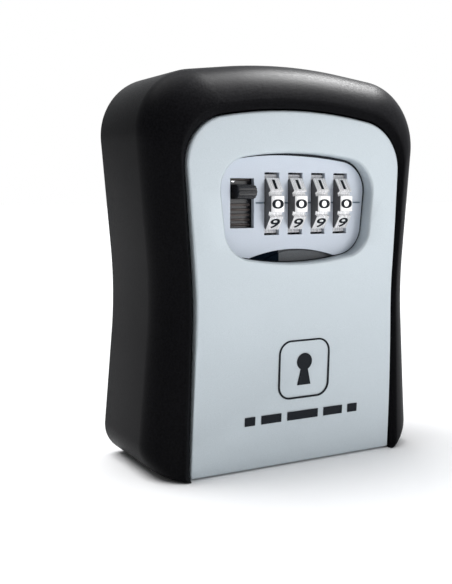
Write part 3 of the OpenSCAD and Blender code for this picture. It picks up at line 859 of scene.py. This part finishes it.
@dataclass
class Housing:
    """The black housing with its rolled rim."""

    shrink: float = 0.13
    roll: float = 66.0
    share: float = 0.82
    crest_share: float = 0.86
    slope: float = 1.3
    roll_rings: int = 30
    back_round: float = 1.0
    foot: float = 1.2

    def _skin(self) -> Object:
        """Closed shape of the outside and the opening, just inside the CAD's skin."""
        body = Outline.mirrored(FORM.body).inset(self.shrink)
        rim = Outline.mirrored(FORM.rim)
        hole = Outline.mirrored([(x, self.foot, 0.5) if i == 0 else (x, z, r)
                                 for i, (x, z, r) in enumerate(FORM.rim)]).inset(-0.08)
        crest = FORM.crest_y + 0.1
        rings = [at_depth(body.inset(self.back_round).ring(), FORM.back_y + 0.5)]
        for k in range(9):
            a = math.radians(90 * k / 8)
            rings.append(at_depth(body.inset(self.back_round * (1 - math.sin(a))).ring(),
                                  FORM.back_y - 0.02 - self.back_round * (1 - math.cos(a))))
        first_roll = len(rings)
        outer, inner = body.ring(), rim.ring()
        rings += [at_depth(outer, 0.0)] * (self.roll_rings + 1)
        for share, depth in ((0.846, 0.01), (self.crest_share, 0.07)):
            rings.append(at_depth(body.blend(rim, share).ring(), crest + depth))
        edge = body.blend(rim, self.crest_share).ring()
        for t in (0.5, 0.9, 1.0):
            rings.append(at_depth(edge * (1 - t) + hole.ring() * t, crest + 0.07 + self.slope * t))
        rings.append(at_depth(hole.ring(), crest + self.slope + 0.4))
        rings.append(at_depth(hole.ring(), FORM.catch_y + 0.3))
        made = loft("housing", rings)
        self._mark_roll(made.data, outer, inner, first_roll)
        rule = RolledRim(POWDER_BLACK.material())
        rule.run(made, {"Roll Angle": math.radians(self.roll), "Share": self.share,
                        "Side Depth": FORM.side_y * MM, "Crest Depth": crest * MM})
        for label in ("outer", "inner", "turn"):
            made.data.attributes.remove(made.data.attributes[label])
        self._sink_base(made.data)
        return made

    def _mark_roll(self, mesh: Mesh, outer: np.ndarray, inner: np.ndarray, first: int) -> None:
        """Writes on each point of the rolled rings its start, its end and how far it has come."""
        n = len(outer)
        turn = np.full(len(mesh.vertices), -1.0)
        start, end = np.zeros((len(mesh.vertices), 3)), np.zeros((len(mesh.vertices), 3))
        for k in range(self.roll_rings + 1):
            rows = slice((first + k) * n, (first + k + 1) * n)
            turn[rows] = k / self.roll_rings
            start[rows], end[rows] = at_depth(outer, 0.0) * MM, at_depth(inner, 0.0) * MM
        for label, rows in (("outer", start), ("inner", end)):
            written = mesh.attributes.new(label, "FLOAT_VECTOR", "POINT")
            written.data.foreach_set("vector", rows.ravel())
        mesh.attributes.new("turn", "FLOAT", "POINT").data.foreach_set("value", turn)

    @staticmethod
    def _sink_base(mesh: Mesh) -> None:
        """Lets the shape reach just below the base, so that the base stays flat and whole."""
        co = coordinates(mesh)
        z = co[:, 2] / MM
        co[:, 2] = (z - 0.25 * np.clip(1 - z / 4, 0, 2) ** 2) * MM
        mesh.vertices.foreach_set("co", co.ravel())

    def build(self) -> None:
        """Makes the housing and dresses the hinge pin."""
        made = combine(cad_copy("rear_housing", "housing_shell"), self._skin(), "INTERSECT")
        smooth(made, 34)
        Piece(made, "housing", "black_paint", POWDER_BLACK, ("rear_housing",)).place()
        lit = bpy.data.collections.new("lit_by_top_band")
        lit.objects.link(made)
        bpy.data.objects[TOP_LIGHT].light_linking.receiver_collection = lit
        refine("hinge_pin", "hinge_rod", "housing", "pin_steel", PIN_STEEL, 0.3)


def eased(made: Object, width: float) -> Object:
    """Rounds an object's edges and keeps its broad faces flat.

    Args:
        made: a closed object.
        width: width of the rounding in millimetres.

    Returns:
        The same object.
    """
    with editing(made.data) as work:
        bmesh.ops.dissolve_limit(work, angle_limit=math.radians(FLAT_WITHIN),
                                 verts=work.verts, edges=work.edges)
    step = made.modifiers.new("soft_edges", "BEVEL")
    step.width, step.segments, step.limit_method = width * MM, 2, "ANGLE"
    step.angle_limit = math.radians(ROUNDED_FROM)
    settle(made)
    smooth(made, 40)
    level = made.modifiers.new("level_faces", "WEIGHTED_NORMAL")
    level.keep_sharp, level.weight = True, 100
    return settle(made)


def refine(node: str, name: str, body: str, slot: str, finish: Finish, width: float) -> None:
    """Places a copy of a CAD node, its edges rounded by a width, to stand for the node."""
    Piece(eased(cad_copy(node, name), width), body, slot, finish, (node,)).place()


@dataclass
class Door:
    """The silver door: crowned face, eased edge, rounded recess and the mark under the dials."""

    shrink: float = 0.1
    edge_round: float = 0.7
    lip_round: float = 0.8
    face_rings: int = 26
    mark_x: float = 1.9
    mark_z: float = 29.4
    eye_r: float = 2.6
    eye_z: float = 2.2
    bar_z: float = 15.2
    bar_half: float = 1.3
    bars: tuple[tuple[float, float], ...] = (
        (-20.0, -16.6), (-14.4, -7.6), (-5.4, 5.4), (7.6, 14.4), (16.6, 20.0))
    line_ends: tuple[float, float] = (-12.7, 24.6)
    line_edges: tuple[float, float] = (0.1, 0.5)
    slot_x: tuple[float, ...] = (-7.25, 0.85, 8.95, 17.05)
    slot_half: float = 2.6
    ink_t: float = 0.05
    # the lighter pad is a painted highlight, set off centre to the right
    pad_x: tuple[float, float] = (-4.5, 16.0)
    pad_round: float = 2.0
    pad_drop: float = 0.45
    recess_middle: tuple[float, float] = (0.0, 77.0)
    seam_w: float = 0.22
    # how far and which way the painted shadow widens the dark seam
    seam_deep: float = 0.75
    seam_way: tuple[float, float] = (0.45, 0.9)
    lens_wide: float = 1.17

    def _skin(self) -> Object:
        """Closed shape of the face and the recess, just inside the CAD's skin."""
        half = [(x, 0.0, 0.0) if i == 0 else (x, z, r) for i, (x, z, r) in enumerate(FORM.rim)]
        edge = Outline(Outline.mirrored(half).corners, 26, 60).inset(FORM.gap + self.shrink)
        lip = self._lip()
        rim_ring = edge.inset(self.edge_round).ring()
        places = cast_rays(lip.inset(-self.lip_round - self.shrink), np.array(self.recess_middle),
                           rim_ring)
        rings = [at_depth(edge.ring(), 6.0)]
        steps = 7
        for k in range(steps + 1):
            a = math.radians(90 * k / steps)
            ring = edge.inset(self.edge_round * (1 - math.cos(a))).ring()
            sunk = self.shrink + self.edge_round * (1 - math.sin(a))
            rings.append(at_depth(ring, FORM.crown(ring[:, 1]) + sunk))
        lip_ring = sample(lip.inset(-self.lip_round - self.shrink), places)
        for k in range(1, self.face_rings):
            ring = rim_ring + (lip_ring - rim_ring) * k / self.face_rings
            rings.append(at_depth(ring, FORM.crown(ring[:, 1]) + self.shrink))
        for k in range(10):
            a = math.radians(10 * k)
            ring = sample(lip.inset(-self.shrink - self.lip_round * (1 - math.sin(a))), places)
            sunk = self.shrink + self.lip_round * (1 - math.cos(a))
            rings.append(at_depth(ring, FORM.crown(ring[:, 1]) + sunk))
        ring = sample(lip.inset(-self.shrink), places)
        rings.append(at_depth(ring, FORM.plate_y + 0.3))
        return loft("door_skin", rings)

    def _raised(self, name: str, strips: Iterable[np.ndarray],
                depth: float | None = None) -> Object:
        """Thin ink from strips of paired points.

        Args:
            name: the object's name.
            strips: arrays of pairs of X and Z points, joined into a run of quads.
            depth: the depth it lies at, or None to follow the crown of the door's face.

        Returns:
            The object.
        """
        parts = []
        for strip in strips:
            count = len(strip)
            flat = strip.reshape(-1, 2)
            surface = FORM.crown(flat[:, 1]) + self.shrink if depth is None else depth
            front, back = at_depth(flat, surface - self.ink_t), at_depth(flat, surface + 0.3)
            closed = bool(np.allclose(strip[0], strip[-1]))
            n = 2 * (count - 1 if closed else count)
            faces = []
            for i in range(count - 1):
                a, b, c, d = 2 * i, 2 * i + 1, (2 * i + 3) % n, (2 * i + 2) % n
                faces += [(a, b, c, d), (n + a, n + d, n + c, n + b),
                          (a, d, n + d, n + a), (b, n + b, n + c, c)]
            if not closed:
                faces += [(0, n, n + 1, 1), (n - 2, n - 1, 2 * n - 1, 2 * n - 2)]
            parts.append(mesh_object(name, np.concatenate([front[:n], back[:n]]), faces))
        return join(parts)

    def _mark(self) -> Object:
        """A plain mark: a keyhole in a rounded square, and bars below it."""
        half, line, turn = 9.0, 0.55, 4.2
        outer = rounded_box((-half, half), (-half, half), turn)
        strips = [np.stack([outer.ring(), outer.inset(line).ring()], axis=1)]
        strips[0] = np.concatenate([strips[0], strips[0][:1]])
        eye = np.array([[self.eye_r * math.cos(a), self.eye_z + self.eye_r * math.sin(a)]
                        for a in np.linspace(0, 2 * math.pi, 41)])
        middle = np.array([0.0, self.eye_z])
        strips.append(np.stack([eye, middle + (eye - middle) * 0.02], axis=1))
        strips.append(np.array([[[-0.9, 1.2], [0.9, 1.2]], [[-2.3, -4.9], [2.3, -4.9]]]))
        strips = [s + np.array([self.mark_x, self.mark_z]) for s in strips]
        low, high = self.bar_z - self.bar_half, self.bar_z + self.bar_half
        for x0, x1 in self.bars:
            strips.append(np.array([[[x0, low], [x0, high]], [[x1, low], [x1, high]]])
                          + np.array([self.mark_x, 0.0]))
        return self._raised("door_mark", strips)

    def _lip(self) -> Outline:
        """Outline of the recess."""
        left = tuple((-x, z, r) for x, z, r in (FORM.recess[2], FORM.recess[1]))
        return Outline(FORM.recess + left, 40, 30)

    def _seam(self) -> Object:
        """The dark seam where the plate meets the wall of the recess: a thin dark joint all round,
        widened toward the upper right into a painted shadow.
        """
        lip = self._lip()
        thin, deep = lip.inset(self.seam_w).ring(), lip.inset(self.seam_deep).ring()
        way = thin - thin.mean(0)
        toward = (way @ np.array(self.seam_way)) / np.linalg.norm(way, axis=1)
        # painted shadow: the dark strip grows wider toward the upper right
        share = np.clip(toward, 0.0, 1.0)[:, None] ** 2
        strip = np.stack([lip.inset(-0.05).ring(), thin + (deep - thin) * share], axis=1)
        closed = np.concatenate([strip, strip[:1]])
        return self._raised("recess_seam", [closed], FORM.plate_y + 0.02)

    def _index(self) -> Object:
        """The line on the plate that the digits are read along, broken by the slots."""
        gaps = [x + s * self.slot_half for x in self.slot_x for s in (-1, 1)]
        ends = [self.line_ends[0], *gaps, self.line_ends[1]]
        low, high = (FORM.dial_z + edge for edge in self.line_edges)
        strips = [np.array([[[a, low], [a, high]], [[b, low], [b, high]]])
                  for a, b in zip(ends[::2], ends[1::2])]
        return self._raised("index_ink", strips, FORM.plate_y + 0.14)

    def _lens(self, name: str, operation: str) -> Object:
        """Part of the lens under the dials: a dark insert, darkened as painted shade, round a
        lighter grey pad off centre to the right that is a painted highlight.

        Args:
            name: the object's name.
            operation: DIFFERENCE for the darkened lens without its pad, INTERSECT for the
                painted-highlight pad alone.

        Returns:
            The object.
        """
        made = cad_copy("thumb_rest", name)
        for vertex in made.data.vertices:
            vertex.co.x *= self.lens_wide
        low, high = (corner[2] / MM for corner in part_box("thumb_rest"))
        heights = (low - 2 * self.pad_round, high - self.pad_drop)
        ring = rounded_box(self.pad_x, heights, self.pad_round).ring()
        return combine(made, loft("keep", [at_depth(ring, -20.0), at_depth(ring, 0.0)]), operation)

    def build(self) -> None:
        """Makes the door, its mark and the lens under the dials."""
        made = combine(cad_copy("door_shell", "door_face"), self._skin(), "INTERSECT")
        smooth(made, 34)
        Piece(made, "door", "silver_paint", SILVER_PAINT, ("door_shell",)).place()
        Piece(self._mark(), "door", "dark_grey", INK).place()
        # the recess seam: a dark joint with a painted shadow along its upper right
        Piece(self._seam(), "door", "dark_grey", INK).place()
        Piece(self._index(), "door", "dark_grey", LINE_BLUE).place()
        # dark insert as painted shade, lighter grey pad as painted highlight
        lens = eased(self._lens("lens_insert", "DIFFERENCE"), 0.1)
        Piece(lens, "door", "dark_grey", SHADED_DARK_GLOSS, ("thumb_rest",)).place()
        pad = eased(self._lens("lens_pad", "INTERSECT"), 0.22)
        Piece(pad, "door", "dark_grey", LENS_HIGHLIGHT_GREY).place()
        refine("dial_plate", "slotted_plate", "door", "plate_silver", PLATE_SILVER, 0.16)


# ---- Dials -----------------------------------------------------------------------------------


@dataclass
class Dials:
    """Four ten-sided digit wheels with their digits and cams."""

    first_x: float = -7.25
    pitch: float = 8.1
    width: float = 4.5
    face: float = 9.7
    flat: float = 4.9
    root: float = 8.75
    half_gap: float = 4.0
    bore: float = 1.55
    socket_r: float = 3.45
    socket_t: float = 1.0
    edge: float = 0.16
    shaft_y: float = -9.2
    digit_size: float = 4.7
    digit_stretch: float = 1.5
    zero_stretch: float = 1.75
    zero_squat: float = 0.8
    digit_bold: float = 0.09
    digit_t: float = 0.02
    digit_out: float = 0.005

    def _sector(self) -> Object:
        """One tenth of a wheel round the X axis, facing forward, open at its two seams."""
        corner = math.degrees(math.atan2(self.flat / 2, self.face))
        edge_turn = math.degrees(self.edge / self.face)
        half_sector = 180.0 / DIGITS
        notch = half_sector - self.half_gap
        half = [(0.0, None), (corner * 0.5, None), (corner - edge_turn, None),
                (corner - edge_turn * 0.15, self.face / math.cos(math.radians(corner)) - self.edge),
                (notch + 0.25, self.root + 0.12), (notch + 0.8, self.root),
                (half_sector, self.root)]
        turns = [(-a, r) for a, r in reversed(half[1:])] + half
        w, e = self.width / 2, self.edge
        points = []
        for degrees, radius in turns:
            a = math.radians(degrees)
            r = self.face / math.cos(a) if radius is None else radius
            for x, q in ((w, self.socket_r), (w, r - e), (w - e * 0.3, r - e * 0.3), (w - e, r),
                         (-w + e, r), (-w + e * 0.3, r - e * 0.3), (-w, r - e), (-w, self.bore),
                         (w - self.socket_t, self.bore), (w - self.socket_t, self.socket_r)):
                points.append([x, -q * math.cos(a), q * math.sin(a)])
        faces = quads(len(turns), len(points) // len(turns))
        return mesh_object("dial_sector", np.array(points), faces, outward=False)

    def _axis(self, index: int) -> Vector:
        """The middle of one wheel, in metres."""
        return Vector((self.first_x + index * self.pitch, self.shaft_y, FORM.dial_z)) * MM

    def _digits(self, index: int) -> Object:
        """The ten painted digits of one wheel."""
        parts = []
        for digit in range(DIGITS):
            data = bpy.data.curves.new("digit", "FONT")
            data.body, data.size = str(digit), self.digit_size * MM
            data.align_x, data.align_y = "CENTER", "CENTER"
            data.extrude, data.offset = self.digit_t * MM, self.digit_bold * MM
            data.resolution_u = 6
            text = link("digit", data)
            mesh = evaluated(text)
            bpy.data.objects.remove(text)
            co = coordinates(mesh)
            middle = (co.max(0) + co.min(0)) / 2
            shift = Matrix.Translation(-Vector((middle[0], middle[1], 0.0)))
            stretch = Matrix.Diagonal((self.digit_stretch, 1.0, 1.0, 1.0) if digit else
                                      (self.zero_stretch, self.zero_squat, 1.0, 1.0))
            upright = Matrix.Rotation(math.radians(90), 4, "X")
            out = Matrix.Translation(Vector((0.0, -(self.face + self.digit_out) * MM, 0.0)))
            spin = Matrix.Rotation(math.radians(-360 / DIGITS * digit), 4, "X")
            axis = Matrix.Translation(self._axis(index))
            mesh.transform(axis @ spin @ out @ upright @ stretch @ shift)
            parts.append(link(f"digits_{index + 1}", mesh))
        made = join(parts)
        weld(made.data)
        return made

    def build(self) -> None:
        """Makes the four wheels and dresses their cams."""
        rule = SectorWheel(CHROME.material())
        for index in range(4):
            body, node = f"dial_{index + 1}_body", f"dial_{index + 1}"
            wheel = rule.run(self._sector(), {"Count": DIGITS, "Axis": self._axis(index)})
            wheel.name = f"wheel_{index + 1}"
            face_outward(wheel.data)
            smooth(wheel, 30)
            Piece(wheel, body, "dial_chrome", CHROME, (node,)).place()
            wheel.data.materials.append(WHEEL_SIDE.material())
            for face in wheel.data.polygons:
                face.material_index = int(abs(face.normal.x) > 0.9)
            Piece(self._digits(index), body, "dark_grey", INK).place()
            refine(f"code_cam_{index + 1}", f"gate_cam_{index + 1}", body, "cam_brass", BRASS, 0.1)


# ---- Slide button and mechanism --------------------------------------------------------------


@dataclass
class SlideButton:
    """The ribbed black slide with its thumb piece."""

    window_x: float = -21.1
    window_w: float = 7.8
    window_z: float = 78.8
    window_h: float = 14.3
    face_y: float = -13.6
    thumb_z: float = 82.1
    thumb_y: float = -16.0
    thumb_r: float = 2.1
    ridge: float = 0.22
    rib_pitch: float = 1.45
    rib_t: float = 0.75

    def _thumb(self) -> Object:
        """The rounded thumb piece with fine ridges across its front."""
        profile = []
        for k in range(49):
            a = math.radians(-90 + 180 * k / 48)
            r = self.thumb_r - self.ridge * (0.5 - 0.5 * math.cos(math.radians(k / 48 * 360 * 6)))
            profile.append([self.thumb_y - r * math.cos(a), self.thumb_z + r * math.sin(a)])
        back = self.face_y + 0.8
        profile += [[back, self.thumb_z + self.thumb_r], [back, self.thumb_z - self.thumb_r]]
        outline = np.array(profile)
        low, high = self.window_x + 1.5, self.window_x + self.window_w - 0.35
        middle = outline.mean(0)
        rings = []
        for x, size in ((low, 0.93), (low + 0.12, 0.975), (low + 0.3, 1.0), (high - 0.3, 1.0),
                        (high - 0.12, 0.975), (high, 0.93)):
            ring = middle + (outline - middle) * size
            rings.append(np.column_stack([np.full(len(ring), x), ring]))
        return loft("thumb", rings)

    def _rib(self) -> Object:
        """One rounded rib, lying along X at the origin."""
        half = self.window_w / 2 - 0.3
        arc = [math.radians(180 * k / 10) for k in range(11)]
        profile = np.array([[-0.55 * math.sin(a), -self.rib_t / 2 * math.cos(a)] for a in arc])
        profile = np.concatenate([profile, [[0.3, self.rib_t / 2], [0.3, -self.rib_t / 2]]])
        rings = [np.column_stack([np.full(len(profile), x), profile * s])
                 for x, s in ((-half, 0.8), (-half + 0.15, 1.0), (half - 0.15, 1.0), (half, 0.8))]
        return loft("rib", rings)

    def build(self) -> None:
        """Makes the slide."""
        base_y = self.face_y + 0.6
        rear = combine(cad_copy("slide_button", "slide_base"),
                       block("keep", (-30, base_y, 60), (0, 0, 100)), "INTERSECT")
        made = join([rear, self._thumb()])
        smooth(made, 35)
        Piece(made, "latch", "button_black", BUTTON_BLACK, ("slide_button",)).place()
        middle_x = self.window_x + self.window_w / 2
        low = self.window_z - self.window_h / 2 + 0.9
        top = self.window_z + self.window_h / 2 + 1.6
        places = []
        z = low
        while z < top:
            if abs(z - self.thumb_z) > self.thumb_r + 0.35:
                places.append([middle_x, base_y, z])
            z += self.rib_pitch
        # ribs in a lighter brown, a painted highlight along their ridges
        ribs = repeat("slide_ribs", self._rib(), places, RIB_HIGHLIGHT_BROWN)
        smooth(ribs, 40)
        Piece(ribs, "latch", "button_black", RIB_HIGHLIGHT_BROWN).place()


@dataclass
class Mechanism:
    """Everything behind the dial plate and inside the door."""

    rows: tuple[tuple[str, str, str, str, Finish, float], ...] = (
        ("mechanism_cover", "back_cover", "door", "zinc", ZINC, 0.2),
        ("detent_spring", "detent_comb", "door", "spring_steel", SPRING_STEEL, 0.05),
        ("dial_shaft", "dial_axle", "shaft", "pin_steel", PIN_STEEL, 0.12),
        ("shaft_clip", "axle_clip", "shaft", "dark_steel", DARK_STEEL, 0.06),
        ("latch_plate", "fence_plate", "latch", "zinc", ZINC, 0.15),
        ("latch_bolt", "sprung_bolt", "bolt", "bolt_steel", PIN_STEEL, 0.2),
        ("reset_lever", "code_lever", "reset", "lever_black", BUTTON_BLACK, 0.18),
    )
    cover_y: float = 5.205
    cover_xz: tuple[tuple[float, float], ...] = ((26.9, -16.8), (26.5, 14.9))
    plate_y: float = -13.0
    plate_xz: tuple[tuple[float, float], ...] = ((25.3, -11.0), (27.9, 9.0))
    cover_screw: tuple[float, float, float, float] = (2.2, 1.3, 1.0, 6.5)
    plate_screw: tuple[float, float, float, float] = (1.5, 0.9, 0.8, 2.8)
    latch_travel: float = 2.2
    shaft_travel: float = 1.2

    def _screw(self, head_r: float, head_t: float, shank_r: float, length: float) -> Object:
        """A domed cross-head screw along Y, head toward +Y, its head's top at the origin."""
        profile = [(0.001, 0.0), (head_r * 0.55, -head_t * 0.06), (head_r * 0.85, -head_t * 0.24),
                   (head_r * 0.985, -head_t * 0.5), (head_r, -head_t * 0.8), (head_r, -head_t),
                   (shank_r, -head_t), (shank_r, -head_t - length + shank_r * 0.6),
                   (shank_r * 0.4, -head_t - length), (0.001, -head_t - length)]
        n = 32
        rings = [np.array([[r * math.cos(2 * math.pi * k / n), y, r * math.sin(2 * math.pi * k / n)]
                           for k in range(n)]) for r, y in profile]
        made = loft("screw", rings)
        size, depth = head_r * 0.58, head_t * 0.6
        for a in (45, 135):
            tool = block("cross", (-size, -depth, -head_r * 0.11), (size, 1.0, head_r * 0.11))
            tool.data.transform(Matrix.Rotation(math.radians(a), 4, "Y"))
            combine(made, tool, "DIFFERENCE")
        return made

    def _screws(self, name: str, node: str, right: tuple[tuple[float, float], ...], y: float,
                size: tuple[float, float, float, float]) -> None:
        """Sets a screw on each place and its mirror image, to stand for a CAD node.

        Args:
            name: the piece's name.
            node: the CAD node.
            right: X and Z of the screws on the right, Z from the dials' axis.
            y: depth of the heads' tops.
            size: radius and height of the head, radius and length of the shank.
        """
        places = [(s * x, y, FORM.dial_z + z) for s in (-1, 1) for x, z in right]
        made = repeat(name, self._screw(*size), places, SCREW_STEEL)
        smooth(made, 35)
        Piece(made, "door", "screw_steel", SCREW_STEEL, (node,)).place()

    def _short_spring(self, node: str, name: str) -> None:
        """A coil spring on the door that gets shorter as a joint moves, given here as a
        smooth-shaded copy of its CAD node with a mesh of its own.

        Args:
            node: the CAD node it stands for.
            name: the piece's name.
        """
        made = cad_copy(node, name)
        smooth(made, 50)
        Piece(made, "door", "spring_steel", SPRING_STEEL, (node,)).place()
        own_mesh(made)

    def build(self) -> None:
        """Makes or dresses each part."""
        for row in self.rows:
            refine(*row)
        self._screws("cover_screw_set", "cover_screws", self.cover_xz, self.cover_y,
                     self.cover_screw)
        self._screws("plate_screw_set", "plate_screws", self.plate_xz, self.plate_y,
                     self.plate_screw)
        refine("button_screw", "slide_screw", "latch", "screw_steel", SCREW_STEEL, 0.08)
        dress_node("bolt_spring", SPRING_STEEL)
        self._short_spring("latch_spring", "return_spring")
        self._short_spring("shaft_spring", "axle_spring")


def dress_node(node: str, finish: Finish) -> None:
    """Gives a CAD node that stays its finish."""
    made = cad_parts[node]
    made.data.materials.clear()
    made.data.materials.append(finish.material())
    LOG.info("%s: CAD node, %s", node, finish.name)


def main() -> None:
    """Builds the studio and every sub-assembly."""
    logging.basicConfig(level=logging.INFO, format="%(name)s %(message)s")
    for name, part in (("studio", Studio()), ("housing", Housing()), ("door", Door()),
                       ("dials", Dials()), ("slide button", SlideButton()),
                       ("mechanism", Mechanism())):
        part.build()
        LOG.info("built the %s", name)


if __name__ == "__main__":
    main()
